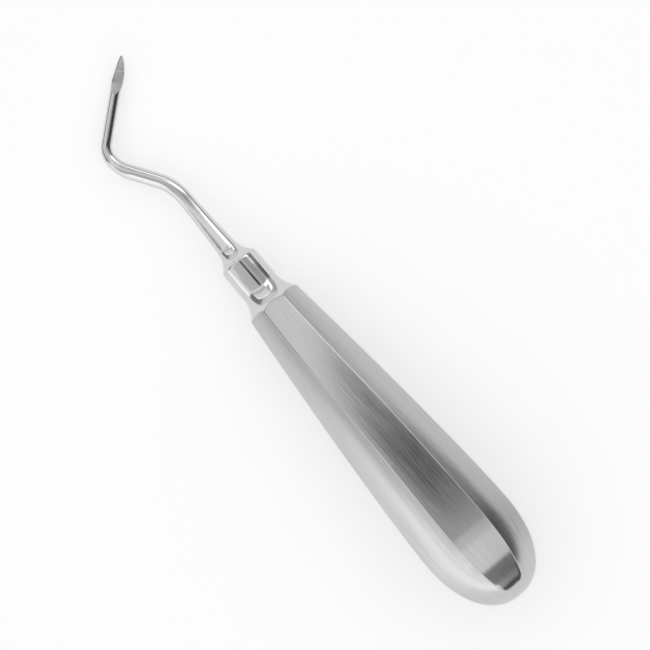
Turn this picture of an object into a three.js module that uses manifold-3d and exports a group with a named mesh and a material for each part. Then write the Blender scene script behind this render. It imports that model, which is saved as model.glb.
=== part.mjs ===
// Dental root elevator with a hollow octagonal handle, in millimetres, +Z up.
//
// Every sub-part is drawn in the instrument's own frame: the X axis is the handle's axis, x = 0 is the
// handle's mouth, +X points to the working end, and the shank bends in the XY plane. The instrument
// then lies on one planar stretch of the handle's bottom facet, whose middle is the part's origin.

import * as THREE from 'three';
import { mergeVertices } from 'three/addons/utils/BufferGeometryUtils.js';
import Module from 'manifold-3d';

// Fits, and how far a cutting body runs past what it cuts
const GAP = 0.3;
const CUT_REACH = 1;

// Handle: a regular octagonal section that widens to a bulb and ends in a domed butt
const FACETS = 8;
const HANDLE_LENGTH = 85.2;
const MOUTH_APOTHEM = 6.63;
const BULB_APOTHEM = 11.87;
const BULB_AT = 66.7;
const TAPER_POWER = 1.35;
const CAP_POWER = 2.2;
const CAP_STEPS = 5;
const BUTT_APOTHEM = 2.4;
const REST_FROM = 22;
const REST_TO = 42;
const TAPER_STATIONS = [0, 10, REST_FROM, REST_TO, 56, BULB_AT];
const WALL = 1.0;
const SEAM_WELD = 0.4;

// Bolster: a round collar whose rear flare runs out into the octagon of the handle
const COLLAR_RADIUS = 4.68;
const COLLAR_FRONT = 12.5;
const REAR_FLARE_END = 5.4;
const REAR_FLARE_MEETS_FACET = 0.35;
const REAR_FLARE_POWER = 2.3;
const FRONT_FLARE_END = 16.7;
const FRONT_FLARE_RADIUS = 2.5;
const FRONT_FLARE_POWER = 2;
const FLARE_STEPS = 6;
const BOLSTER_BACK = -0.6;
const SPIGOT_RADIUS = 5.35;
const SPIGOT_BACK = -9.0;
const LATHE_SEGMENTS = 48;
const MOUTH_WELD = 0.4;

// Braze metal at the shank's entry into the bolster
const BRAZE_LENGTH = 0.5;

// Shank: a square tang, a round journal and a bent, tapered rod
const TANG_BACK = -28;
const TANG_SIDE = 2.8;
const TANG_CHAMFER = 0.5;
const JOURNAL_RADIUS = 1.9;
const JOURNAL_BACK = -9.5;
const SHANK_ROOT_RADIUS = 2.42;
const SHANK_RADIUS = 1.73;
const SHANK_TAPER_END = 31;
const SHANK_TAPER_POWER = 1.6;
const ARM_RADIUS = 1.2;
const ARM_TAPER_FROM = 45.2;
const ARM_TAPER_LENGTH = 10.2;
const ARM_TAPER_POWER = 1.5;
const ROD_SIDES = 24;
const SHANK_STEPS = 6;
const BEND_STEPS = 22;
const ARM_STEPS = 4;

// Bends along the rod's centreline: a straight length, then an arc; a positive turn is towards +Y
const BENDS = [
  { straight: 31.6, radius: 12, turn: 32.7 },
  { straight: 6.88, radius: 9, turn: -32.7 },
  { straight: 0, radius: 4.6, turn: -49.5 },
];
const ARM_LENGTH = 19.9;

// Blade: the end of the arm, ground to a hollow face on its +Z side, curled up to a point and
// leaning slightly to its right
const BLADE_LENGTH = 9.2;
const NOTCH_LENGTH = 3.6;
const FACE_CUT = 0.11;
const CURL_RISE = 1.75;
const CURL_POWER = 1.5;
const BACK_STRAIGHT = 2.4;
const BACK_RISE = 1.5;
const BACK_POWER = 1.3;
const TIP_BEVEL = 1.7;
const LEFT_NOSE = 5.4;
const LEFT_NOSE_POWER = 0.6;
const RIGHT_NOSE = 4;
const RIGHT_BULGE = 0.1;
const TIP_DRIFT = 0.2;
const FACE_HOLLOW = 0.12;
const BLADE_STEPS = 16;
const TIP_LAND = 0.06;

// Cross-pin through the spigot and the journal
const PIN_RADIUS = 0.75;
const PIN_AT = -5;
const PIN_SEGMENTS = 20;

const SATIN_STEEL = { color: 0xb4b5b6, roughness: 0.38, metalness: 1 };
const POLISHED_STEEL = { color: 0xc9cacb, roughness: 0.1, metalness: 1 };
const GROUND_STEEL = { color: 0xa3a4a6, roughness: 0.5, metalness: 1 };

const manifoldLibrary = await Module();
manifoldLibrary.setup();

function solid(geometry) {
  const bare = geometry.index ? geometry.clone() : geometry;
  bare.deleteAttribute('normal');
  bare.deleteAttribute('uv');
  const merged = mergeVertices(bare);
  return new manifoldLibrary.Manifold(new manifoldLibrary.Mesh({
    numProp: 3,
    vertProperties: new Float32Array(merged.attributes.position.array),
    triVerts: new Uint32Array(merged.index.array),
  }));
}

function surface(manifold) {
  const mesh = manifold.getMesh();
  const geometry = new THREE.BufferGeometry();
  geometry.setAttribute('position', new THREE.BufferAttribute(new Float32Array(mesh.vertProperties), 3));
  geometry.setIndex(new THREE.BufferAttribute(new Uint32Array(mesh.triVerts), 1));
  geometry.computeVertexNormals();
  return geometry;
}

function part(name, geometry, finish) {
  const mesh = new THREE.Mesh(geometry, new THREE.MeshStandardMaterial(finish));
  mesh.name = name;
  return mesh;
}

// A closed skin through rings of equal point count, which run counter-clockwise seen from the +X end
function loft(rings) {
  const count = rings[0].length;
  const positions = rings.flat().flatMap((point) => [point.x, point.y, point.z]);
  const triangles = [];
  for (let ring = 0; ring + 1 < rings.length; ring += 1) {
    for (let side = 0; side < count; side += 1) {
      const next = (side + 1) % count;
      const here = ring * count;
      const ahead = here + count;
      triangles.push(here + side, here + next, ahead + next);
      triangles.push(here + side, ahead + next, ahead + side);
    }
  }
  const last = (rings.length - 1) * count;
  for (let side = 1; side + 1 < count; side += 1) {
    triangles.push(0, side + 1, side);
    triangles.push(last, last + side, last + side + 1);
  }
  const geometry = new THREE.BufferGeometry();
  geometry.setAttribute('position', new THREE.Float32BufferAttribute(positions, 3));
  geometry.setIndex(triangles);
  return geometry;
}

// Half the handle's width across flats, at a distance behind the mouth on its tapered length
function taperApothem(distance) {
  const rest = Math.max(0, 1 - distance / BULB_AT);
  return BULB_APOTHEM - (BULB_APOTHEM - MOUTH_APOTHEM) * rest ** TAPER_POWER;
}

function octagon(x, apothem) {
  const radius = apothem / Math.cos(Math.PI / FACETS);
  return Array.from({ length: FACETS }, (unused, corner) => {
    const angle = (2 * corner + 1) * Math.PI / FACETS;
    return new THREE.Vector3(x, radius * Math.cos(angle), radius * Math.sin(angle));
  });
}

// The handle's octagonal stations from the butt to the mouth at x = front, all moved inwards by an inset
function handleRings(inset, front) {
  const capLength = HANDLE_LENGTH - BULB_AT - inset;
  const rings = [];
  for (let step = CAP_STEPS; step > 0; step -= 1) {
    const angle = step / CAP_STEPS * Math.PI / 2;
    const along = Math.sin(angle) ** (2 / CAP_POWER) * capLength;
    const apothem = Math.cos(angle) ** (2 / CAP_POWER) * (BULB_APOTHEM - inset);
    rings.push(octagon(-BULB_AT - along, Math.max(apothem, BUTT_APOTHEM)));
  }
  for (const distance of TAPER_STATIONS.slice(1).reverse()) {
    rings.push(octagon(-distance, taperApothem(distance) - inset));
  }
  rings.push(octagon(front, taperApothem(-front) - inset));
  return rings;
}

function slab(low, high) {
  const reach = 2 * HANDLE_LENGTH;
  const box = new THREE.BoxGeometry(reach, reach, high - low);
  box.translate(-BULB_AT, 0, (low + high) / 2);
  return solid(box);
}

const mouthWeldFront = BOLSTER_BACK - GAP;
const shellFront = mouthWeldFront - MOUTH_WELD - GAP;

function handleWall() {
  const outside = solid(loft(handleRings(0, shellFront)));
  const inside = solid(loft(handleRings(WALL, CUT_REACH)));
  return outside.subtract(inside);
}

function handleShell(name, side) {
  const nearest = SEAM_WELD / 2 + GAP;
  const farthest = 2 * BULB_APOTHEM;
  const half = side > 0 ? slab(nearest, farthest) : slab(-farthest, -nearest);
  return part(name, surface(handleWall().intersect(half)), SATIN_STEEL);
}

function seamWeld() {
  const bead = handleWall().intersect(slab(-SEAM_WELD / 2, SEAM_WELD / 2));
  return part('seam_weld', surface(bead), SATIN_STEEL);
}

function mouthWeld() {
  const back = mouthWeldFront - MOUTH_WELD;
  const outside = solid(loft([octagon(back, taperApothem(-back)), octagon(mouthWeldFront, MOUTH_APOTHEM)]));
  const hole = solid(loft([
    octagon(back - CUT_REACH, MOUTH_APOTHEM - WALL),
    octagon(mouthWeldFront + CUT_REACH, MOUTH_APOTHEM - WALL),
  ]));
  return part('mouth_weld', surface(outside.subtract(hole)), SATIN_STEEL);
}

// A solid of revolution about the X axis, from a closed outline of [x, radius] points
function turned(outline) {
  const points = outline.map(([x, radius]) => new THREE.Vector2(radius, x)).reverse();
  const geometry = new THREE.LatheGeometry([...points, points[0]], LATHE_SEGMENTS);
  geometry.rotateZ(-Math.PI / 2);
  return geometry;
}

function flare(from, to, steps, radiusAt) {
  return Array.from({ length: steps + 1 }, (unused, step) => {
    const x = from + (to - from) * step / steps;
    return [x, radiusAt(x)];
  });
}

function rearFlareRadius(x) {
  const rest = (REAR_FLARE_END - x) / (REAR_FLARE_END - REAR_FLARE_MEETS_FACET);
  return COLLAR_RADIUS + (MOUTH_APOTHEM - COLLAR_RADIUS) * rest ** REAR_FLARE_POWER;
}

function frontFlareRadius(x) {
  const rest = (FRONT_FLARE_END - x) / (FRONT_FLARE_END - COLLAR_FRONT);
  return FRONT_FLARE_RADIUS + (COLLAR_RADIUS - FRONT_FLARE_RADIUS) * rest ** FRONT_FLARE_POWER;
}

const boreRadius = JOURNAL_RADIUS + GAP;

function pinAlongY(radius, length) {
  const pin = new THREE.CylinderGeometry(radius, radius, length, PIN_SEGMENTS);
  pin.translate(PIN_AT, 0, 0);
  return pin;
}

function pinHole() {
  return solid(pinAlongY(PIN_RADIUS + GAP, 4 * SPIGOT_RADIUS));
}

function bolster() {
  const outline = [
    [SPIGOT_BACK, boreRadius],
    [FRONT_FLARE_END, boreRadius],
    ...flare(FRONT_FLARE_END, COLLAR_FRONT, FLARE_STEPS, frontFlareRadius),
    ...flare(REAR_FLARE_END, BOLSTER_BACK, FLARE_STEPS, rearFlareRadius),
    [BOLSTER_BACK, SPIGOT_RADIUS],
    [SPIGOT_BACK, SPIGOT_RADIUS],
  ];
  const octagonalLimit = solid(loft([
    octagon(SPIGOT_BACK - CUT_REACH, MOUTH_APOTHEM),
    octagon(FRONT_FLARE_END + CUT_REACH, MOUTH_APOTHEM),
  ]));
  const body = solid(turned(outline)).intersect(octagonalLimit).subtract(pinHole());
  return part('bolster', surface(body), POLISHED_STEEL);
}

function shankBrazeRing() {
  const back = FRONT_FLARE_END + GAP;
  const front = back + BRAZE_LENGTH;
  const outline = [
    [back, boreRadius],
    [front, boreRadius],
    [front, SHANK_ROOT_RADIUS],
    [back, FRONT_FLARE_RADIUS],
  ];
  return part('shank_braze_ring', turned(outline), POLISHED_STEEL);
}

function tangPin() {
  return part('tang_pin', pinAlongY(PIN_RADIUS, 2 * (SPIGOT_RADIUS - GAP)), GROUND_STEEL);
}

// Walks the bend list: the place and heading of the centreline at a distance from the mouth
function centreline(distance) {
  const place = new THREE.Vector2(0, 0);
  let heading = 0;
  let left = distance;
  for (const { straight, radius, turn } of BENDS) {
    const run = Math.min(left, straight);
    place.add(new THREE.Vector2(Math.cos(heading), Math.sin(heading)).multiplyScalar(run));
    left -= run;
    const angle = THREE.MathUtils.degToRad(Math.abs(turn));
    const bend = Math.min(left / radius, angle) * Math.sign(turn);
    const chord = 2 * radius * Math.sin(Math.abs(bend) / 2);
    const along = heading + bend / 2;
    place.add(new THREE.Vector2(Math.cos(along), Math.sin(along)).multiplyScalar(chord));
    heading += bend;
    left -= Math.abs(bend) * radius;
  }
  place.add(new THREE.Vector2(Math.cos(heading), Math.sin(heading)).multiplyScalar(left));
  return { place, heading };
}

const bentLength = BENDS.reduce(
  (sum, { straight, radius, turn }) => sum + straight + radius * THREE.MathUtils.degToRad(Math.abs(turn)),
  0,
);
const rodLength = bentLength + ARM_LENGTH;
const bladeStart = rodLength - BLADE_LENGTH;

function rodRadius(distance) {
  const taper = Math.max(0, 1 - (distance - FRONT_FLARE_END) / (SHANK_TAPER_END - FRONT_FLARE_END));
  const thickening = (SHANK_ROOT_RADIUS - SHANK_RADIUS) * taper ** SHANK_TAPER_POWER;
  const narrowing = THREE.MathUtils.clamp((distance - ARM_TAPER_FROM) / ARM_TAPER_LENGTH, 0, 1);
  const rod = ARM_RADIUS + (SHANK_RADIUS - ARM_RADIUS) * (1 - narrowing) ** ARM_TAPER_POWER;
  return rod + thickening;
}

// One ring square to the centreline; sectionPoint gives [left, up] for an angle round the rod
function rodRing(distance, sectionPoint) {
  const { place, heading } = centreline(distance);
  return Array.from({ length: ROD_SIDES }, (unused, side) => {
    const [left, up] = sectionPoint(side / ROD_SIDES * 2 * Math.PI);
    return new THREE.Vector3(
      place.x - Math.sin(heading) * left,
      place.y + Math.cos(heading) * left,
      up,
    );
  });
}

function roundRing(distance, radius) {
  return rodRing(distance, (angle) => [radius * Math.cos(angle), radius * Math.sin(angle)]);
}

function squareRing(distance, side) {
  return rodRing(distance, (angle) => {
    const reach = side / 2 / Math.max(Math.abs(Math.cos(angle)), Math.abs(Math.sin(angle)));
    return [reach * Math.cos(angle), reach * Math.sin(angle)];
  });
}

// The blade's side view: heights of its centre, ground face and back at a distance past the notch
function bladeSide(past) {
  const pastNotch = Math.max(0, past - NOTCH_LENGTH) / (BLADE_LENGTH - NOTCH_LENGTH);
  const centre = CURL_RISE * pastNotch ** CURL_POWER;
  const notch = THREE.MathUtils.smoothstep(past, 0, NOTCH_LENGTH);
  const face = centre + THREE.MathUtils.lerp(ARM_RADIUS, FACE_CUT, notch);
  const pastStraight = Math.max(0, past - BACK_STRAIGHT) / (BLADE_LENGTH - BACK_STRAIGHT);
  const back = -ARM_RADIUS + BACK_RISE * pastStraight ** BACK_POWER;
  const left = BLADE_LENGTH - past;
  const bevel = Math.sqrt(Math.min(1, (left + TIP_LAND) / TIP_BEVEL));
  return { centre, face, depth: (centre - back) * bevel, notch };
}

// Half-widths of the blade to the left and right of its axis, seen from above with the tip ahead
function bladeHalfWidths(past) {
  const left = BLADE_LENGTH - past + TIP_LAND;
  const leftSide = ARM_RADIUS * Math.min(1, left / LEFT_NOSE) ** LEFT_NOSE_POWER;
  const bulge = 1 + RIGHT_BULGE * THREE.MathUtils.smoothstep(past, 0, NOTCH_LENGTH);
  const rightSide = ARM_RADIUS * bulge * Math.sqrt(Math.min(1, left / RIGHT_NOSE));
  return [leftSide, rightSide];
}

function bladeRing(past) {
  const { centre, face, depth, notch } = bladeSide(past);
  const [leftSide, rightSide] = bladeHalfWidths(past);
  const drift = TIP_DRIFT * past / BLADE_LENGTH;
  return rodRing(bladeStart + past, (angle) => {
    const across = Math.cos(angle);
    const left = across * (across > 0 ? leftSide : rightSide) - drift;
    const height = Math.sin(angle);
    const hollow = FACE_HOLLOW * notch * (1 - across ** 2);
    const flooredHollow = Math.min(hollow, depth / 2);
    const up = height > 0 ? Math.min(height * ARM_RADIUS, face - centre - flooredHollow) : height * depth;
    return [left, centre + up];
  });
}

function bladeShank() {
  const rings = [
    squareRing(TANG_BACK, TANG_SIDE - TANG_CHAMFER),
    squareRing(TANG_BACK + TANG_CHAMFER, TANG_SIDE),
    squareRing(JOURNAL_BACK, TANG_SIDE),
    roundRing(JOURNAL_BACK, JOURNAL_RADIUS),
  ];
  const shankBack = FRONT_FLARE_END + 2 * GAP + BRAZE_LENGTH;
  rings.push(roundRing(shankBack, JOURNAL_RADIUS));
  const stations = [shankBack];
  const spans = [
    [shankBack, BENDS[0].straight, SHANK_STEPS],
    [BENDS[0].straight, bentLength, BEND_STEPS],
    [bentLength, bladeStart, ARM_STEPS],
  ];
  for (const [from, to, steps] of spans) {
    for (let step = 1; step <= steps; step += 1) {
      stations.push(from + (to - from) * step / steps);
    }
  }
  stations.forEach((distance) => rings.push(roundRing(distance, rodRadius(distance))));
  for (let step = 1; step <= BLADE_STEPS; step += 1) {
    rings.push(bladeRing(BLADE_LENGTH * step / BLADE_STEPS));
  }
  return part('blade_shank', surface(solid(loft(rings)).subtract(pinHole())), POLISHED_STEEL);
}

// The instrument lies on the planar stretch of the bottom facet between two of its stations
const restFront = new THREE.Vector3(-REST_FROM, 0, -taperApothem(REST_FROM));
const restBack = new THREE.Vector3(-REST_TO, 0, -taperApothem(REST_TO));
const tilt = Math.atan2(restFront.z - restBack.z, restFront.x - restBack.x);

const instrument = new THREE.Group();
instrument.rotation.y = tilt;
instrument.position.copy(restFront.clone().lerp(restBack, 0.5).applyEuler(instrument.rotation).negate());
instrument.add(
  bladeShank(),
  bolster(),
  handleShell('handle_shell_upper', 1),
  handleShell('handle_shell_lower', -1),
  seamWeld(),
  mouthWeld(),
  shankBrazeRing(),
  tangPin(),
);

const elevator = new THREE.Group();
elevator.add(instrument);

export default elevator;
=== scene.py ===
import math

import bmesh
import bpy
from mathutils import Matrix, Vector


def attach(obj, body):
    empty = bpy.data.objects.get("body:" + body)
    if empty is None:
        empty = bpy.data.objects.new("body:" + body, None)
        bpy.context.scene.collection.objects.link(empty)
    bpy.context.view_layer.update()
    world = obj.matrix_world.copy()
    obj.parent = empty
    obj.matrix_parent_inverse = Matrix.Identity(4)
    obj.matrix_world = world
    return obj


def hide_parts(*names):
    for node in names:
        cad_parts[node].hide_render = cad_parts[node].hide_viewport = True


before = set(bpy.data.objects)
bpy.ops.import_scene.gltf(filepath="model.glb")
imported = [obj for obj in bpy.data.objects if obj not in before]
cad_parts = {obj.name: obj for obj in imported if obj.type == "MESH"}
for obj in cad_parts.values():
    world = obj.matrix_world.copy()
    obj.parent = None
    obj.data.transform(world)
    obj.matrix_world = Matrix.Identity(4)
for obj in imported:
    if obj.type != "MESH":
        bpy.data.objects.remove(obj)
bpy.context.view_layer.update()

# A dental root elevator lying on a table. Shapes are drawn in millimetres in the instrument's own frame:
# X is the handle's axis, with x = 0 at its mouth and +X towards the blade. The shank bends in the XY plane.
# The instrument then lies on a planar stretch of its bottom facet, whose middle is the row frame's origin.

MM = 0.001
FACETS = 8
HALF_FACET = math.pi / FACETS
TOP_FACET = FACETS // 4
WHITE = (1.0, 1.0, 1.0, 1.0)

# Handle
HANDLE_LENGTH = 85.2
MOUTH_APOTHEM = 6.63
BULB_APOTHEM = 11.87
BULB_AT = 66.7
TAPER_POWER = 1.35
CAP_POWER = 2.2
REST_FROM = 22.0
REST_TO = 42.0
WALL = 1.0
EDGE_ROUNDING = 0.6
FACET_CROWN = 0.02
BULB_CROWN = 0.08
BUTT_ROUNDING_FROM = 82.3
BUTT_ROUNDING_SHARE = 0.85
ROLL = math.radians(4.2)
ROLL_FULL_AT = 42.0
ROLL_POWER = 3
FACET_GRAIN_PITCH = 40.0
TAPER_ROWS = 44
CAP_ROWS = 44
FLAT_STEPS = 8
ARC_STEPS = 6

# Welds of the seam and the mouth
SEAM_WIDTH = 0.4
SEAM_DEPTH = 0.25
SEAM_LIP_SHARE = 0.04
SEAM_LIP_SLOPE = 0.8
BEAD_EDGE_SHARE = 0.1
MOUTH_WELD_BACK = -1.3
MOUTH_EDGE_BREAK = 0.16
MOUTH_EDGE_TURN = math.pi / 4
WELD_ROWS = 5

# Bolster
COLLAR_CROWN = 0.05
COLLAR_END_RADIUS = 4.64
COLLAR_FRONT = 12.5
COLLAR_EDGE = 0.22
REAR_FLARE_END = 5.4
REAR_FLARE_MEETS_FACET = 0.35
REAR_FLARE_POWER = 2.3
FRONT_FLARE_END = 16.7
FRONT_FLARE_RADIUS = 2.44
FRONT_FLARE_POWER = 2.0
SHOULDER_BACK = -0.6
SHOULDER_RADIUS = 5.75
SPIGOT_RADIUS = 5.35
SPIGOT_BACK = -9.0
SPIGOT_CHAMFER = 0.3
BORE_RADIUS = 2.2
TURNED_SIDES = 160
FLARE_ROWS = 26
COLLAR_ROWS = 12

# Shank; each bend is the straight before it, its radius and its turn in degrees
TANG_BACK = -28.0
TANG_SIDE = 2.8
TANG_CHAMFER = 0.3
JOURNAL_RADIUS = 1.9
JOURNAL_BACK = -9.5
SHANK_ROOT_RADIUS = 2.42
SHANK_RADIUS = 1.73
SHANK_TAPER_END = 31.0
SHANK_TAPER_POWER = 1.6
ARM_RADIUS = 1.2
ARM_TAPER_FROM = 45.2
ARM_TAPER_LENGTH = 10.2
ARM_TAPER_POWER = 1.5
BENDS = ((31.6, 12.0, 32.7), (6.88, 9.0, -32.7), (0.0, 4.6, -49.5))
ARM_LENGTH = 19.9
BRAZE_LENGTH = 0.7
ROD_SIDES = 64
ROD_STEP = 0.55

# Blade
BLADE_LENGTH = 9.2
NOTCH_LENGTH = 3.6
FACE_CUT = 0.11
CURL_RISE = 1.75
CURL_POWER = 1.5
BACK_STRAIGHT = 2.4
BACK_RISE = 1.5
BACK_POWER = 1.3
TIP_BEVEL = 1.7
LEFT_NOSE = 5.4
LEFT_NOSE_POWER = 0.6
RIGHT_NOSE = 4.0
RIGHT_BULGE = 0.1
TIP_DRIFT = 0.2
FACE_HOLLOW = 0.14
DEPTH_PER_HOLLOW = 3
RIDGE_HEIGHT = 0.05
RIDGE_AT = 3.1
RIDGE_HALF = 0.45
TIP_LAND = 0.02
BLADE_ROWS = 92
FACE_STEPS = 16

# Pin
PIN_RADIUS = 0.75
PIN_AT = -5.0
PIN_CHAMFER = 0.15
PIN_SIDES = 48

HAIRLINE = 0.03
SHARP_ANGLE = math.radians(32)

# Steels; each noise layer is its scale along each axis, its detail and its swings in roughness and in tint
NOISE_ROUGHNESS = 0.55
NOISE_MEAN = 0.5
SATIN_TINT = (0.56, 0.56, 0.56)
SATIN_ROUGHNESS = 0.17
SATIN_ANISOTROPY = 0.65
SATIN_LAYERS = {
    "fine": ((4.0, 0.12, 1.0), 3.0, 0.12, 0.22),
    "broad": ((1.3, 0.05, 1.0), 2.0, 0.10, 0.20),
    "cloud": ((0.14, 0.06, 1.0), 2.0, 0.06, 0.14),
}
BROAD_RELIEF = 0.6
SATIN_RELIEF_HEIGHT = 0.012 * MM
POLISH_TINT = (0.64, 0.64, 0.645)
COLLAR_ROUGHNESS = 0.11
SHANK_ROUGHNESS = 0.12
POLISH_LAYERS = {
    "haze": ((260.0, 420.0, 420.0), 2.0, 0.05, 0.05),
    "scratch": ((500.0, 9000.0, 9000.0), 4.0, 0.05, 0.04),
}
POLISH_RELIEF_HEIGHT = 0.02 * MM
GROUND_TINT = (0.44, 0.44, 0.445)
GROUND_ROUGHNESS = 0.4
GROUND_LAYERS = {
    "marks": ((2600.0, 2600.0, 2600.0), 4.0, 0.2, 0.3),
    "patch": ((420.0, 420.0, 420.0), 2.0, 0.2, 0.4),
}
GROUND_RELIEF_HEIGHT = 0.01 * MM

# Ceiling, in metres; each panel is x from, x to, y from, y to and its luminance relative to white
CEILING_HEIGHT = 0.55
CEILING_SIZE = 4.6
PANEL_SOFTNESS = 0.012
PANELS = (
    (-2.25, -0.38, -0.15, 0.95, 0.30),
    (-0.38, -0.05, -0.15, 0.25, 1.00),
    (-0.38, -0.05, 0.25, 0.95, 1.50),
    (-0.05, 0.03, -0.15, 0.95, 0.80),
    (0.03, 0.096, -0.15, 0.95, 0.52),
    (0.096, 0.205, -0.018, 0.95, 0.66),
    (0.096, 0.205, -0.28, -0.145, 0.62),
    (0.096, 0.155, -0.145, -0.018, 0.05),
    (0.155, 0.205, -0.145, -0.018, 0.20),
    (0.205, 0.27, -0.28, 0.95, 1.05),
    (0.27, 0.45, -0.28, 0.95, 0.68),
    (0.45, 1.15, -0.28, 0.95, 0.95),
    (0.40, 1.15, -0.62, -0.28, 0.60),
    (0.40, 1.15, -1.10, -0.62, 1.50),
    (0.23, 0.40, -1.10, -0.28, 1.80),
    (0.00, 0.23, -1.10, -0.28, 0.46),
    (-1.15, 0.00, -1.10, -0.15, 0.05),
)

# Walls, by the direction they are seen in; each ramp is from, to, the value before and the value after
RIGHT_WALL_BY_X = (0.05, 0.24, 0.08, 0.5)
RIGHT_WALL_RISE_BY_Z = (0.2, 0.33, 0.0, 0.12)
LEFT_WALL_BY_X = (0.14, 0.28, 1.5, 0.3)
LEFT_WALL_TOP_BY_Z = (0.08, 0.25, 1.0, 0.8)
LEFT_SHARE_BY_Y = (0.0, 0.4, 0.0, 1.0)
FRONT_SHARE_BY_X = (0.8, 0.96, 0.0, 1.0)
WALLS_END_BY_Z = (0.35, 0.6, 1.0, 0.0)
FRONT_WALL = 0.85
BACKDROP = 0.95

# Table and its light, in millimetres
TABLE_HALF = 3000.0
TABLE_TINT = (0.93, 0.93, 0.93, 1.0)
TABLE_ROUGHNESS = 0.9
TABLE_SPECULAR = 0.1
TABLE_GLOW = 0.38
TABLE_LIGHT = 2.02
TABLE_LIGHT_SPREAD = math.radians(150)

# Camera, in millimetres
FRAME_WIDTH = 145.5
CAMERA_DISTANCE = 1600.0
CAMERA_CLIP = 10.0
SENSOR = 36.0
VIEW_CENTRE = (-10.84, -5.64)
VIEW_UP_TURN = math.radians(-40.2454)


def smoothstep(value, low, high):
    t = min(1.0, max(0.0, (value - low) / (high - low)))
    return t * t * (3 - 2 * t)


def spread(low, high, steps):
    """Evenly spaced values from low to high, both included."""
    return [low + (high - low) * i / steps for i in range(steps + 1)]


def angles_round(sides):
    return [2 * math.pi * i / sides for i in range(sides)]


def taper_apothem(distance):
    rest = max(0.0, 1 - distance / BULB_AT)
    return BULB_APOTHEM - (BULB_APOTHEM - MOUTH_APOTHEM) * rest ** TAPER_POWER


def instrument_matrix():
    """Lays the instrument on the planar stretch of its bottom facet and turns millimetres into metres."""
    front, back = taper_apothem(REST_FROM), taper_apothem(REST_TO)
    tilt = math.atan2(back - front, REST_TO - REST_FROM)
    turn = Matrix.Rotation(tilt, 4, "Y")
    rest = turn @ Vector((-(REST_FROM + REST_TO) / 2, 0, -(front + back) / 2))
    return Matrix.Scale(MM, 4) @ Matrix.Translation(-rest) @ turn


INSTRUMENT = instrument_matrix()


# ---------------------------------------------------------------------------------------------- mesh building

class Skin:
    """Points, faces and finishes of one piece, in millimetres in the instrument's frame."""

    def __init__(self):
        self.points = []
        self.grain = []
        self.faces = []
        self.finishes = []

    def row(self, points, grain=None):
        start = len(self.points)
        self.points.extend(points)
        self.grain.extend(grain or [(0.0, 0.0)] * len(points))
        return list(range(start, len(self.points)))

    def face(self, corners, finish=0):
        distinct = [c for i, c in enumerate(corners) if c != corners[i - 1]]
        if len(distinct) > 2:
            self.faces.append(distinct)
            self.finishes.append(finish)

    def bridge(self, first, second, closed=False, finish=0):
        """Quads between two rows of equal length; a closed row runs on from its last point to its first."""
        count = len(first)
        for i in range(count if closed else count - 1):
            j = (i + 1) % count
            self.face((first[i], first[j], second[j], second[i]), finish)

    def bridge_all(self, rows, closed=False, finish=0):
        for first, second in zip(rows, rows[1:]):
            self.bridge(first, second, closed, finish)

    def build(self, name, materials):
        mesh = bpy.data.meshes.new(name)
        mesh.from_pydata([INSTRUMENT @ Vector(p) for p in self.points], [], self.faces)
        for material in materials:
            mesh.materials.append(material)
        mesh.polygons.foreach_set("material_index", self.finishes)
        mesh.polygons.foreach_set("use_smooth", [True] * len(mesh.polygons))
        layer = mesh.uv_layers.new(name="grain")
        for loop in mesh.loops:
            layer.data[loop.index].uv = self.grain[loop.vertex_index]
        face_outwards(mesh)
        piece = bpy.data.objects.new(name, mesh)
        bpy.context.scene.collection.objects.link(piece)
        weighted = piece.modifiers.new("weighted_normals", "WEIGHTED_NORMAL")
        weighted.keep_sharp = True
        return piece


def face_outwards(mesh):
    """Turns every face outwards and keeps hard corners, and the edges between finishes, sharp."""
    skin = bmesh.new()
    skin.from_mesh(mesh)
    bmesh.ops.recalc_face_normals(skin, faces=skin.faces)
    for edge in skin.edges:
        first, second = edge.link_faces
        corner = edge.calc_face_angle() > SHARP_ANGLE
        edge.smooth = not corner and first.material_index == second.material_index
    skin.to_mesh(mesh)
    skin.free()


# --------------------------------------------------------------------------------------------------- handle

def handle_profile(inset=0.0):
    """[x, apothem] from the handle's mouth to just before the butt's pole, moved inwards by an inset."""
    stations = []
    for i in range(TAPER_ROWS):
        distance = -MOUTH_WELD_BACK + (BULB_AT + MOUTH_WELD_BACK) * i / TAPER_ROWS
        stations.append((-distance, taper_apothem(distance) - inset))
    for i in range(CAP_ROWS):
        angle = i / CAP_ROWS * math.pi / 2
        along = math.sin(angle) ** (2 / CAP_POWER) * (HANDLE_LENGTH - BULB_AT - inset)
        apothem = math.cos(angle) ** (2 / CAP_POWER) * (BULB_APOTHEM - inset)
        stations.append((-BULB_AT - along, apothem))
    return stations


def edge_rounding(x, apothem):
    """Facet edges are crisp down the handle and melt into the dome at the butt."""
    melt = smoothstep(-x, BUTT_ROUNDING_FROM, HANDLE_LENGTH)
    return EDGE_ROUNDING + (BUTT_ROUNDING_SHARE * apothem - EDGE_ROUNDING) * melt


def rolled(x, y, z):
    """The upper facets are ground slightly rolled towards -Y, fully from the middle of the handle."""
    radius = math.hypot(y, z)
    angle = math.atan2(z, y)
    turn = ROLL * smoothstep(-x, 0, ROLL_FULL_AT) * max(0.0, math.sin(angle)) ** ROLL_POWER
    return (x, radius * math.cos(angle + turn), radius * math.sin(angle + turn))


def facet_crown(x, facet, side):
    """Slope at a facet's side; near the bulb, slanting facets are rounder beside the top and bottom."""
    beside_top_or_bottom = (facet + side) % (FACETS // 2) == TOP_FACET
    return FACET_CROWN + (BULB_CROWN * smoothstep(-x, 0, BULB_AT) if beside_top_or_bottom else 0.0)


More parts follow.
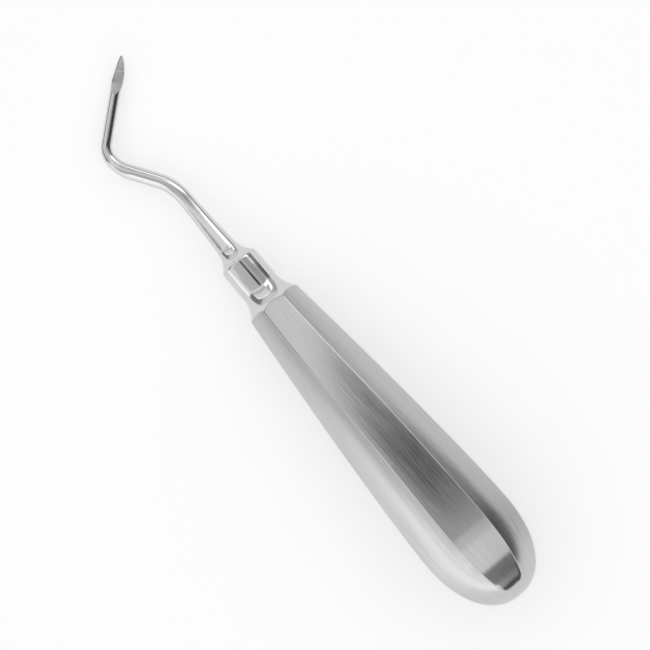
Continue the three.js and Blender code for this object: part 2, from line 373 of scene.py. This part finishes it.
def facet_ring(x, apothem, rounding, first, last):
    """Points and grain round the octagon, from the middle of facet first to the middle of facet last."""
    half = (apothem - rounding) * math.tan(HALF_FACET)
    centre = (apothem - rounding) / math.cos(HALF_FACET)
    points, lateral = [], []
    for facet in range(first, last + 1):
        angle = facet * 2 * HALF_FACET
        low = 0 if facet == first else -1
        high = 0 if facet == last else 1
        crowns = {side: facet_crown(x, facet, side) for side in (-1, 1)}
        next_crown = facet_crown(x, facet + 1, -1)
        steps = FLAT_STEPS // 2 * (high - low)
        for i in range(steps + 1):
            share = low + (high - low) * i / steps
            along = half * share
            level = apothem - crowns[1 if share > 0 else -1] * half * share * share
            y = level * math.cos(angle) - along * math.sin(angle)
            z = level * math.sin(angle) + along * math.cos(angle)
            points.append(rolled(x, y, z))
            lateral.append(FACET_GRAIN_PITCH * facet + along)
        if facet == last:
            break
        for i in range(1, ARC_STEPS):
            turn = angle + 2 * HALF_FACET * i / ARC_STEPS
            edge = rounding - half * (crowns[1] + (next_crown - crowns[1]) * i / ARC_STEPS)
            y = centre * math.cos(angle + HALF_FACET) + edge * math.cos(turn)
            z = centre * math.sin(angle + HALF_FACET) + edge * math.sin(turn)
            points.append(rolled(x, y, z))
            past = 2 * i >= ARC_STEPS
            arc = rounding * 2 * HALF_FACET * (i / ARC_STEPS - past)
            lateral.append(FACET_GRAIN_PITCH * (facet + past) + (-half if past else half) + arc)
    return points, lateral


def handle_shell(name, side, finish):
    """One pressed half shell: outer skin, inner skin, the seam faces between them and the mouth's rim."""
    first = 0 if side > 0 else FACETS // 2
    last = first + FACETS // 2
    skin = Skin()
    outer, inner = [], []
    length = 0.0
    before = None
    for x, apothem in handle_profile():
        point = Vector((x, apothem))
        length += (point - before).length if before else 0.0
        before = point
        points, lateral = facet_ring(x, apothem, edge_rounding(x, apothem), first, last)
        points, lateral = with_seam_lips(points, lateral)
        outer.append(skin.row(points, [(u, length) for u in lateral]))
    for x, apothem in handle_profile(WALL):
        points, lateral = facet_ring(x, apothem, edge_rounding(x, apothem), first, last)
        points, lateral = with_seam_lips(points, lateral)
        lift = side * SEAM_WIDTH / 2
        shrink = 1 - SEAM_WIDTH / 2 / apothem
        inner.append(skin.row([(px, py, lift + pz * shrink) for px, py, pz in points]))
    count = len(outer[0])
    outer_pole = skin.row([(-HANDLE_LENGTH, 0.0, 0.0)], [(0.0, length)])
    inner_pole = skin.row([(-HANDLE_LENGTH + WALL, 0.0, side * SEAM_WIDTH / 2)])
    outer.append(outer_pole * count)
    inner.append(inner_pole * count)
    skin.bridge_all(outer)
    skin.bridge_all(inner)
    skin.bridge(outer[0], inner[0])
    for edge in (0, -1):
        skin.bridge([row[edge] for row in outer], [row[edge] for row in inner])
    return skin.build(name, [finish])


def seam_lip(edge, neighbour):
    """A half ring's seam edge, sunk into a hairline V, and the lip where the V meets the facet."""
    x, y, z = edge
    width = (neighbour[2] - z) * SEAM_LIP_SHARE
    depth = abs(width) * SEAM_LIP_SLOPE
    past_bulb = max(0.0, -x - BULB_AT)
    inwards = Vector((past_bulb / (HANDLE_LENGTH - BULB_AT) ** 2, -y / BULB_APOTHEM ** 2)).normalized()
    return (x + depth * inwards.x, y + depth * inwards.y, z), (x, y, z + width)


def with_seam_lips(points, lateral):
    """Adds a lip beside each of the two seam edges of a half ring."""
    head, head_lip = seam_lip(points[0], points[1])
    tail, tail_lip = seam_lip(points[-1], points[-2])
    shaped = [head, head_lip] + points[1:-1] + [tail_lip, tail]
    widened = [lateral[0]] * 2 + lateral[1:-1] + [lateral[-1]] * 2
    return shaped, widened


def round_the_butt(inset):
    """The handle's outline in the seam plane, moved inwards: down one side, over the butt and back."""
    line = handle_profile(inset)
    return line + [(-HANDLE_LENGTH + inset, 0.0)] + [(x, -apothem) for x, apothem in reversed(line)]


def seam_weld(finish):
    """The U-shaped bead that fills the gap between the shells, just under the skin."""
    skin = Skin()
    half = SEAM_WIDTH / 2
    edge = BEAD_EDGE_SHARE * half
    rows = []
    for (x, y), (inner_x, inner_y) in zip(round_the_butt(SEAM_DEPTH), round_the_butt(WALL)):
        inner_edges = [(inner_x, inner_y, half), (inner_x, inner_y, -half)]
        rows.append(skin.row([(x, y, edge)] + inner_edges + [(x, y, -edge)]))
    skin.bridge_all(rows, closed=True)
    skin.face(rows[0])
    skin.face(rows[-1])
    return skin.build("seam_weld_bead", [finish])


def shoulder_x(radius):
    """Where the bolster's rear flare reaches a radius."""
    share = (radius - COLLAR_END_RADIUS) / (MOUTH_APOTHEM - COLLAR_END_RADIUS)
    return REAR_FLARE_END - (REAR_FLARE_END - REAR_FLARE_MEETS_FACET) * share ** (1 / REAR_FLARE_POWER)


def edge_break():
    """The mouth's polished-over edge: how far each point lies behind the edge and below the facet."""
    radius = MOUTH_EDGE_BREAK / (1 - math.cos(MOUTH_EDGE_TURN))
    turns = spread(0.0, MOUTH_EDGE_TURN, ARC_STEPS)
    return [(radius * (math.sin(MOUTH_EDGE_TURN) - math.sin(turn)), radius * (1 - math.cos(turn)))
            for turn in turns]


def mouth_weld(finish):
    """The octagonal ring between the shells' mouth and the scalloped shoulder edge, flush with the facets."""
    skin = Skin()
    ring, lateral = facet_ring(0.0, MOUTH_APOTHEM, EDGE_ROUNDING, 0, FACETS)
    rim = [(y, z) for x, y, z in ring[:-1]]
    front = [shoulder_x(math.hypot(y, z) - MOUTH_EDGE_BREAK) - HAIRLINE for y, z in rim]
    rows = []
    stations = [(share, 0.0, 0.0) for share in spread(0.0, 1.0, WELD_ROWS)[:-1]]
    stations += [(1.0, back, drop) for back, drop in edge_break()]
    for share, back, drop in stations:
        row = []
        for (y, z), end in zip(rim, front):
            x = MOUTH_WELD_BACK + (end - back - MOUTH_WELD_BACK) * share
            grow = (taper_apothem(-x) - drop) / MOUTH_APOTHEM
            row.append((x, y * grow, z * grow))
        rows.append(skin.row(row, [(u, -row[0][0]) for u in lateral[:-1]]))
    inner = []
    for share in (1.0, 0.0):
        row = []
        for (y, z), end in zip(rim, front):
            shrink = 1 - WALL / math.hypot(y, z)
            x = MOUTH_WELD_BACK + (min(end, SHOULDER_BACK) - HAIRLINE - MOUTH_WELD_BACK) * share
            row.append((x, y * shrink, z * shrink))
        inner.append(skin.row(row))
    skin.bridge_all(rows + inner + rows[:1], closed=True)
    return skin.build("mouth_weld_ring", [finish])


# -------------------------------------------------------------------------------------------------- bolster

def octagon_radius(angle):
    """Polar radius of the mouth's rounded octagon."""
    off = (angle + HALF_FACET) % (2 * HALF_FACET) - HALF_FACET
    half = (MOUTH_APOTHEM - EDGE_ROUNDING) * math.tan(HALF_FACET)
    if MOUTH_APOTHEM * abs(math.tan(off)) <= half:
        return MOUTH_APOTHEM / math.cos(off)
    centre = (MOUTH_APOTHEM - EDGE_ROUNDING) / math.cos(HALF_FACET)
    from_corner = HALF_FACET - abs(off)
    sideways = centre * math.sin(from_corner)
    return centre * math.cos(from_corner) + math.sqrt(EDGE_ROUNDING ** 2 - sideways ** 2)


def rear_flare_radius(x):
    rest = (REAR_FLARE_END - x) / (REAR_FLARE_END - REAR_FLARE_MEETS_FACET)
    return COLLAR_END_RADIUS + (MOUTH_APOTHEM - COLLAR_END_RADIUS) * rest ** REAR_FLARE_POWER


def front_flare_radius(x):
    rest = (FRONT_FLARE_END - x) / (FRONT_FLARE_END - COLLAR_FRONT)
    return FRONT_FLARE_RADIUS + (COLLAR_END_RADIUS - FRONT_FLARE_RADIUS) * rest ** FRONT_FLARE_POWER


def crowned_radius(x):
    """The collar between its flares, very slightly barrel-shaped."""
    middle, half = (REAR_FLARE_END + COLLAR_FRONT) / 2, (COLLAR_FRONT - REAR_FLARE_END) / 2
    return COLLAR_END_RADIUS + COLLAR_CROWN * math.cos((x - middle) / half * math.pi / 2) ** 2


def collar_edge():
    """The collar's front corner: a small round between the barrel and the front flare."""
    start = (COLLAR_FRONT - COLLAR_EDGE, crowned_radius(COLLAR_FRONT - COLLAR_EDGE))
    corner = (COLLAR_FRONT, COLLAR_END_RADIUS)
    end = (COLLAR_FRONT + COLLAR_EDGE, front_flare_radius(COLLAR_FRONT + COLLAR_EDGE))
    return [quadratic(start, corner, end, i / ARC_STEPS) for i in range(1, ARC_STEPS)]


def quadratic(start, middle, end, t):
    return tuple((1 - t) ** 2 * a + 2 * t * (1 - t) * b + t * t * c for a, b, c in zip(start, middle, end))


def turned(skin, line):
    """Rows of a body of revolution about the X axis; line is [x, radius] points that close on themselves."""
    angles = angles_round(TURNED_SIDES)
    return [skin.row([(x, radius * math.cos(a), radius * math.sin(a)) for a in angles]) for x, radius in line]


def bolster(finish):
    """The collar with its flares, the shoulder against the mouth weld, the spigot and the bore."""
    skin = Skin()
    angles = angles_round(TURNED_SIDES)
    edge = [shoulder_x(octagon_radius(a) - MOUTH_EDGE_BREAK) for a in angles]
    rows = []
    for share in spread(0.0, 1.0, FLARE_ROWS)[:-1]:
        row = []
        for angle, start in zip(angles, edge):
            x = start + (REAR_FLARE_END - start) * share
            radius = rear_flare_radius(x)
            row.append((x, radius * math.cos(angle), radius * math.sin(angle)))
        rows.append(skin.row(row))
    barrel_end = COLLAR_FRONT - COLLAR_EDGE
    line = [(x, crowned_radius(x)) for x in spread(REAR_FLARE_END, barrel_end, COLLAR_ROWS)]
    line += collar_edge()
    flare_start = COLLAR_FRONT + COLLAR_EDGE
    line += [(x, front_flare_radius(x)) for x in spread(flare_start, FRONT_FLARE_END - HAIRLINE, FLARE_ROWS)]
    line += [(FRONT_FLARE_END, FRONT_FLARE_RADIUS - HAIRLINE), (FRONT_FLARE_END, BORE_RADIUS)]
    line += [(SPIGOT_BACK, BORE_RADIUS), (SPIGOT_BACK, SPIGOT_RADIUS - SPIGOT_CHAMFER)]
    line += [(SPIGOT_BACK + SPIGOT_CHAMFER, SPIGOT_RADIUS), (SHOULDER_BACK, SPIGOT_RADIUS)]
    line += [(SHOULDER_BACK, SHOULDER_RADIUS)]
    rows += turned(skin, line)
    skin.bridge_all(rows + rows[:1], closed=True)
    return skin.build("bolster_collar", [finish])


def shank_braze(finish):
    """A short cone that runs from the bolster's lip down to the shank."""
    front = FRONT_FLARE_END + BRAZE_LENGTH
    top, bottom = FRONT_FLARE_RADIUS - HAIRLINE, rod_radius(front)
    line = [(FRONT_FLARE_END, JOURNAL_RADIUS + HAIRLINE), (front, JOURNAL_RADIUS + HAIRLINE)]
    line += [(x, bottom + (top - bottom) * (front - x) / BRAZE_LENGTH)
             for x in spread(front, FRONT_FLARE_END, ARC_STEPS)]
    skin = Skin()
    rows = turned(skin, line)
    skin.bridge_all(rows + rows[:1], closed=True)
    return skin.build("shank_braze_fillet", [finish])


# ------------------------------------------------------------------------------------------ shank and blade

def centreline(distance):
    """Walks the bend list: the place and heading of the rod's centre at a distance from the mouth."""
    x, y, heading, left = 0.0, 0.0, 0.0, distance
    for straight, radius, turn in BENDS:
        run = min(left, straight)
        x += run * math.cos(heading)
        y += run * math.sin(heading)
        left -= run
        bend = math.copysign(min(left / radius, math.radians(abs(turn))), turn)
        chord = 2 * radius * math.sin(abs(bend) / 2)
        x += chord * math.cos(heading + bend / 2)
        y += chord * math.sin(heading + bend / 2)
        heading += bend
        left -= abs(bend) * radius
    return x + left * math.cos(heading), y + left * math.sin(heading), heading


BENT_LENGTH = sum(straight + radius * math.radians(abs(turn)) for straight, radius, turn in BENDS)
BLADE_START = BENT_LENGTH + ARM_LENGTH - BLADE_LENGTH


def rod_radius(distance):
    taper = max(0.0, 1 - (distance - FRONT_FLARE_END) / (SHANK_TAPER_END - FRONT_FLARE_END))
    thickening = (SHANK_ROOT_RADIUS - SHANK_RADIUS) * taper ** SHANK_TAPER_POWER
    narrowing = min(1.0, max(0.0, (distance - ARM_TAPER_FROM) / ARM_TAPER_LENGTH))
    return ARM_RADIUS + (SHANK_RADIUS - ARM_RADIUS) * (1 - narrowing) ** ARM_TAPER_POWER + thickening


def across_rod(distance, left, up):
    x, y, heading = centreline(distance)
    return (x - math.sin(heading) * left, y + math.cos(heading) * left, up)


def rod_angles():
    """Round the rod from its top, down its right side, under it and up its left side to the top again."""
    return [math.pi / 2 - 2 * math.pi * i / ROD_SIDES for i in range(ROD_SIDES + 1)]


def rod_row(skin, distance, reach):
    points = []
    for angle in rod_angles()[:-1]:
        radius = reach(angle)
        points.append(across_rod(distance, -radius * math.cos(angle), radius * math.sin(angle)))
    row = skin.row(points)
    return row + row[:1]


def round_reach(radius):
    return lambda angle: radius


def square_reach(side):
    return lambda angle: side / 2 / max(abs(math.cos(angle)), abs(math.sin(angle)))


def blade_side(past):
    """At a distance past the blade's start: its centre and face heights, back depth and notch share."""
    centre = CURL_RISE * (max(0.0, past - NOTCH_LENGTH) / (BLADE_LENGTH - NOTCH_LENGTH)) ** CURL_POWER
    notch = smoothstep(past, 0, NOTCH_LENGTH)
    off_ridge = min(1.0, abs(BLADE_LENGTH - past - RIDGE_AT) / RIDGE_HALF)
    ridge = RIDGE_HEIGHT * math.cos(off_ridge * math.pi / 2) ** 2
    face = centre + ARM_RADIUS + (FACE_CUT - ARM_RADIUS) * notch + ridge
    rise = (max(0.0, past - BACK_STRAIGHT) / (BLADE_LENGTH - BACK_STRAIGHT)) ** BACK_POWER
    bevel = math.sqrt(min(1.0, (BLADE_LENGTH - past + TIP_LAND) / TIP_BEVEL))
    return centre, face, (centre + ARM_RADIUS - BACK_RISE * rise) * bevel, notch


def blade_half_widths(past):
    """Half-widths to the left and right of the blade's axis, seen from above with the tip ahead."""
    left = BLADE_LENGTH - past + TIP_LAND
    bulge = 1 + RIGHT_BULGE * smoothstep(past, 0, NOTCH_LENGTH)
    return (ARM_RADIUS * min(1.0, left / LEFT_NOSE) ** LEFT_NOSE_POWER,
            ARM_RADIUS * bulge * math.sqrt(min(1.0, left / RIGHT_NOSE)))


def blade_rows(skin, past):
    """The back, from the face's right edge under the blade to its left, and the face from left to right."""
    centre, face, depth, notch = blade_side(past)
    left_side, right_side = blade_half_widths(past)
    drift = TIP_DRIFT * past / BLADE_LENGTH
    cut = math.asin(min(1.0, (face - centre) / ARM_RADIUS))
    back = []
    for i in range(ROD_SIDES + 1):
        angle = cut - (math.pi + 2 * cut) * i / ROD_SIDES
        side = -right_side if math.cos(angle) > 0 else left_side
        across = side * abs(math.cos(angle)) - drift
        height = math.sin(angle) * (ARM_RADIUS if math.sin(angle) > 0 else depth)
        back.append(across_rod(BLADE_START + past, across, centre + height))
    left_edge, right_edge = left_side * math.cos(cut), -right_side * math.cos(cut)
    middle, half = (left_edge + right_edge) / 2 - drift, (left_edge - right_edge) / 2
    hollow = min(FACE_HOLLOW * notch, depth / DEPTH_PER_HOLLOW)
    inner = []
    for i in range(1, FACE_STEPS):
        share = 1 - 2 * i / FACE_STEPS
        sag = hollow * (1 - share * share)
        inner.append(across_rod(BLADE_START + past, middle + half * share, face - sag))
    back_row = skin.row(back)
    return back_row, [back_row[-1]] + skin.row(inner) + [back_row[0]]


def blade_shank(polish, ground):
    """The square tang, the round journal and shank with its bends, and the blade with its ground face."""
    skin = Skin()
    shoulder = FRONT_FLARE_END + BRAZE_LENGTH
    rows = [
        rod_row(skin, TANG_BACK, square_reach(TANG_SIDE - 2 * TANG_CHAMFER)),
        rod_row(skin, TANG_BACK + TANG_CHAMFER, square_reach(TANG_SIDE)),
        rod_row(skin, JOURNAL_BACK, square_reach(TANG_SIDE)),
        rod_row(skin, JOURNAL_BACK, round_reach(JOURNAL_RADIUS)),
        rod_row(skin, shoulder, round_reach(JOURNAL_RADIUS)),
    ]
    for distance in spread(shoulder, BLADE_START, round((BLADE_START - shoulder) / ROD_STEP)):
        rows.append(rod_row(skin, distance, round_reach(rod_radius(distance))))
    skin.face(rows[0][:-1])
    skin.bridge_all(rows)
    back, face = rows[-1], rows[-1][:1] * (FACE_STEPS + 1)
    for past in spread(0.0, BLADE_LENGTH, BLADE_ROWS)[1:]:
        next_back, next_face = blade_rows(skin, past)
        skin.bridge(back, next_back)
        skin.bridge(face, next_face, finish=1)
        back, face = next_back, next_face
    skin.face(back + face[1:-1], finish=1)
    return skin.build("blade_and_shank", [polish, ground])


def tang_pin(finish):
    """A chamfered pin across the spigot, hidden under the shells."""
    skin = Skin()
    half = SPIGOT_RADIUS - HAIRLINE
    line = [(-half, PIN_RADIUS - PIN_CHAMFER), (PIN_CHAMFER - half, PIN_RADIUS),
            (half - PIN_CHAMFER, PIN_RADIUS), (half, PIN_RADIUS - PIN_CHAMFER)]
    angles = angles_round(PIN_SIDES)
    rows = []
    for along, radius in line:
        rows.append(skin.row([(PIN_AT + radius * math.cos(a), along, radius * math.sin(a)) for a in angles]))
    skin.bridge_all(rows, closed=True)
    skin.face(rows[0])
    skin.face(rows[-1])
    return skin.build("cross_pin", [finish])


# ------------------------------------------------------------------------------------------------ materials

def add(tree, kind, inputs=None, **properties):
    """Adds a node; an input is a value, or another node's output to link."""
    new = tree.nodes.new(kind)
    for name, value in properties.items():
        setattr(new, name, value)
    for name, value in (inputs or {}).items():
        if isinstance(value, bpy.types.NodeSocket):
            tree.links.new(value, new.inputs[name])
        else:
            new.inputs[name].default_value = value
    return new


def calculate(tree, operation, first, second=0.0, third=0.0):
    new = add(tree, "ShaderNodeMath", {0: first, 1: second, 2: third}, operation=operation)
    return new.outputs[0]


def ramp(tree, value, low, high, out_low, out_high):
    """A smooth step from out_low to out_high as value goes from low to high."""
    inputs = {"Value": value, "From Min": low, "From Max": high, "To Min": out_low, "To Max": out_high}
    return add(tree, "ShaderNodeMapRange", inputs, interpolation_type="SMOOTHSTEP").outputs["Result"]


def noise(tree, place, scale, detail):
    """Noise of about -0.5 to 0.5, stretched by a scale per axis."""
    placed = add(tree, "ShaderNodeMapping", {"Vector": place, "Scale": scale}).outputs["Vector"]
    inputs = {"Vector": placed, "Scale": 1.0, "Detail": detail, "Roughness": NOISE_ROUGHNESS}
    factor = add(tree, "ShaderNodeTexNoise", inputs).outputs["Fac"]
    return calculate(tree, "SUBTRACT", factor, NOISE_MEAN)


def bare_steel(name):
    material = bpy.data.materials.new(name)
    material.use_nodes = True
    surface = material.node_tree.nodes["Principled BSDF"]
    surface.inputs["Metallic"].default_value = 1.0
    return material, material.node_tree, surface


def vary(tree, surface, place, tint, roughness, layers):
    """Swings a steel's roughness and tint with noise layers, and returns the noise of each layer."""
    surface.inputs["Base Color"].default_value = (*tint, 1.0)
    surface.inputs["Roughness"].default_value = roughness
    noises = {}
    tint_share = 1.0
    for layer, (scale, detail, roughness_swing, tint_swing) in layers.items():
        noises[layer] = noise(tree, place, scale, detail)
        roughness = calculate(tree, "MULTIPLY_ADD", noises[layer], roughness_swing, roughness)
        tint_share = calculate(tree, "MULTIPLY_ADD", noises[layer], tint_swing, tint_share)
    tree.links.new(roughness, surface.inputs["Roughness"])
    tinted = add(tree, "ShaderNodeVectorMath", {0: tint, 3: tint_share}, operation="SCALE")
    tree.links.new(tinted.outputs[0], surface.inputs["Base Color"])
    return noises


def relief(tree, surface, height, distance):
    normal = add(tree, "ShaderNodeBump", {"Height": height, "Distance": distance, "Strength": 1.0})
    tree.links.new(normal.outputs["Normal"], surface.inputs["Normal"])


def brushed_steel():
    """Satin steel with fine lengthwise brush lines that follow each facet."""
    material, tree, surface = bare_steel("satin_brushed_steel")
    grain = add(tree, "ShaderNodeUVMap", uv_map="grain").outputs["UV"]
    noises = vary(tree, surface, grain, SATIN_TINT, SATIN_ROUGHNESS, SATIN_LAYERS)
    height = calculate(tree, "MULTIPLY_ADD", noises["broad"], BROAD_RELIEF, noises["fine"])
    relief(tree, surface, height, SATIN_RELIEF_HEIGHT)
    surface.inputs["Anisotropic"].default_value = SATIN_ANISOTROPY
    tangent = add(tree, "ShaderNodeTangent", direction_type="UV_MAP", uv_map="grain").outputs["Tangent"]
    tree.links.new(tangent, surface.inputs["Tangent"])
    return material


def polished_steel(name, roughness):
    """Mirror-polished steel with faint buffing haze and hair scratches."""
    material, tree, surface = bare_steel(name)
    place = add(tree, "ShaderNodeTexCoord").outputs["Object"]
    noises = vary(tree, surface, place, POLISH_TINT, roughness, POLISH_LAYERS)
    relief(tree, surface, noises["haze"], POLISH_RELIEF_HEIGHT)
    return material


def ground_steel():
    """The blade's matt ground face."""
    material, tree, surface = bare_steel("ground_blade_steel")
    place = add(tree, "ShaderNodeTexCoord").outputs["Object"]
    noises = vary(tree, surface, place, GROUND_TINT, GROUND_ROUGHNESS, GROUND_LAYERS)
    relief(tree, surface, noises["marks"], GROUND_RELIEF_HEIGHT)
    return material


# --------------------------------------------------------------------------------------------------- studio

def mix(tree, share, first, second):
    """The first value where share is 0, and the second where it is 1."""
    inputs = {0: share, 2: first, 3: second}
    return add(tree, "ShaderNodeMix", inputs, data_type="FLOAT").outputs[0]


def studio_world():
    """The walls that the metal mirrors below the ceiling: bright on the left and ahead, dim on the right."""
    world = bpy.data.worlds.new("studio")
    bpy.context.scene.world = world
    world.use_nodes = True
    world.cycles_visibility.diffuse = False
    tree = world.node_tree
    direction = add(tree, "ShaderNodeTexCoord").outputs["Generated"]
    x, y, z = add(tree, "ShaderNodeSeparateXYZ", {0: direction}).outputs
    rise = ramp(tree, z, *RIGHT_WALL_RISE_BY_Z)
    right = calculate(tree, "ADD", ramp(tree, x, *RIGHT_WALL_BY_X), rise)
    top = ramp(tree, z, *LEFT_WALL_TOP_BY_Z)
    left = calculate(tree, "MULTIPLY", ramp(tree, x, *LEFT_WALL_BY_X), top)
    sides = mix(tree, ramp(tree, y, *LEFT_SHARE_BY_Y), right, left)
    walls = mix(tree, ramp(tree, x, *FRONT_SHARE_BY_X), sides, FRONT_WALL)
    mirrored = calculate(tree, "MULTIPLY", walls, ramp(tree, z, *WALLS_END_BY_Z))
    seen = add(tree, "ShaderNodeLightPath").outputs["Is Camera Ray"]
    background = tree.nodes["Background"]
    tree.links.new(mix(tree, seen, mirrored, BACKDROP), background.inputs["Strength"])
    background.inputs["Color"].default_value = WHITE


def within(tree, value, low, high):
    """1 between two limits and 0 outside them, with a soft edge on each limit."""
    above = ramp(tree, value, low - PANEL_SOFTNESS, low + PANEL_SOFTNESS, 0.0, 1.0)
    below = ramp(tree, value, high - PANEL_SOFTNESS, high + PANEL_SOFTNESS, 1.0, 0.0)
    return calculate(tree, "MULTIPLY", above, below)


def ceiling_light():
    """One level light, lit in soft-edged panels, at the power that makes a luminance of 1 mirror as white."""
    data = bpy.data.lights.new("ceiling", "AREA")
    data.shape = "SQUARE"
    data.size = CEILING_SIZE
    data.energy = math.pi * CEILING_SIZE ** 2
    data.use_nodes = True
    tree = data.node_tree
    place = add(tree, "ShaderNodeNewGeometry").outputs["Position"]
    axes = add(tree, "ShaderNodeSeparateXYZ", {0: place}).outputs
    strength = 0.0
    for x_low, x_high, y_low, y_high, luminance in PANELS:
        along_x = within(tree, axes["X"], x_low, x_high)
        along_y = within(tree, axes["Y"], y_low, y_high)
        panel = calculate(tree, "MULTIPLY", along_x, along_y)
        strength = calculate(tree, "MULTIPLY_ADD", panel, luminance, strength)
    tree.links.new(strength, tree.nodes["Emission"].inputs["Strength"])
    light = bpy.data.objects.new("ceiling", data)
    light.location.z = CEILING_HEIGHT
    light.visible_camera = False
    light.visible_diffuse = False
    bpy.context.scene.collection.objects.link(light)


def table_light():
    """Very soft light from straight above, kept out of the metal's reflections."""
    data = bpy.data.lights.new("table_light", "SUN")
    data.energy = TABLE_LIGHT
    data.angle = TABLE_LIGHT_SPREAD
    light = bpy.data.objects.new("table_light", data)
    light.visible_glossy = False
    bpy.context.scene.collection.objects.link(light)


def table():
    mesh = bpy.data.meshes.new("table")
    far = TABLE_HALF * MM
    mesh.from_pydata([(-far, -far, 0), (far, -far, 0), (far, far, 0), (-far, far, 0)], [], [(0, 1, 2, 3)])
    floor = bpy.data.objects.new("table", mesh)
    bpy.context.scene.collection.objects.link(floor)
    material = bpy.data.materials.new("pale_table")
    material.use_nodes = True
    surface = material.node_tree.nodes["Principled BSDF"]
    surface.inputs["Base Color"].default_value = TABLE_TINT
    surface.inputs["Roughness"].default_value = TABLE_ROUGHNESS
    surface.inputs["Specular IOR Level"].default_value = TABLE_SPECULAR
    surface.inputs["Emission Color"].default_value = WHITE
    surface.inputs["Emission Strength"].default_value = TABLE_GLOW
    mesh.materials.append(material)


def camera():
    """Straight above the instrument, with the tip at the upper left of the picture."""
    data = bpy.data.cameras.new("camera")
    data.sensor_width = SENSOR
    data.lens = SENSOR * CAMERA_DISTANCE / FRAME_WIDTH
    data.clip_start = CAMERA_CLIP * MM
    eye = bpy.data.objects.new("camera", data)
    bpy.context.scene.collection.objects.link(eye)
    bpy.context.scene.camera = eye
    middle = INSTRUMENT @ Vector((*VIEW_CENTRE, 0.0))
    up = Vector((math.cos(VIEW_UP_TURN), math.sin(VIEW_UP_TURN), 0.0))
    back = Vector((0.0, 0.0, 1.0))
    right = up.cross(back)
    turn = Matrix((right, up, back)).transposed().to_4x4()
    eye.matrix_world = Matrix.Translation(middle + back * CAMERA_DISTANCE * MM) @ turn


def assemble():
    satin = brushed_steel()
    collar_polish = polished_steel("polished_collar_steel", COLLAR_ROUGHNESS)
    shank_polish = polished_steel("polished_shank_steel", SHANK_ROUGHNESS)
    pieces = (
        (blade_shank(shank_polish, ground_steel()), "blade_shank", "shank_polish"),
        (bolster(collar_polish), "bolster", "collar_polish"),
        (handle_shell("upper_shell", 1, satin), "handle_shell_upper", "handle_satin"),
        (handle_shell("lower_shell", -1, satin), "handle_shell_lower", "handle_satin"),
        (seam_weld(satin), "seam_weld", "weld_satin"),
        (mouth_weld(satin), "mouth_weld", "weld_satin"),
        (shank_braze(collar_polish), "shank_braze_ring", "braze_polish"),
        (tang_pin(satin), "tang_pin", "pin_steel"),
    )
    for piece, node, slot in pieces:
        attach(piece, "root")
        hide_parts(node)


assemble()
table()
studio_world()
ceiling_light()
table_light()
camera()
bpy.context.scene.view_settings.view_transform = "Standard"
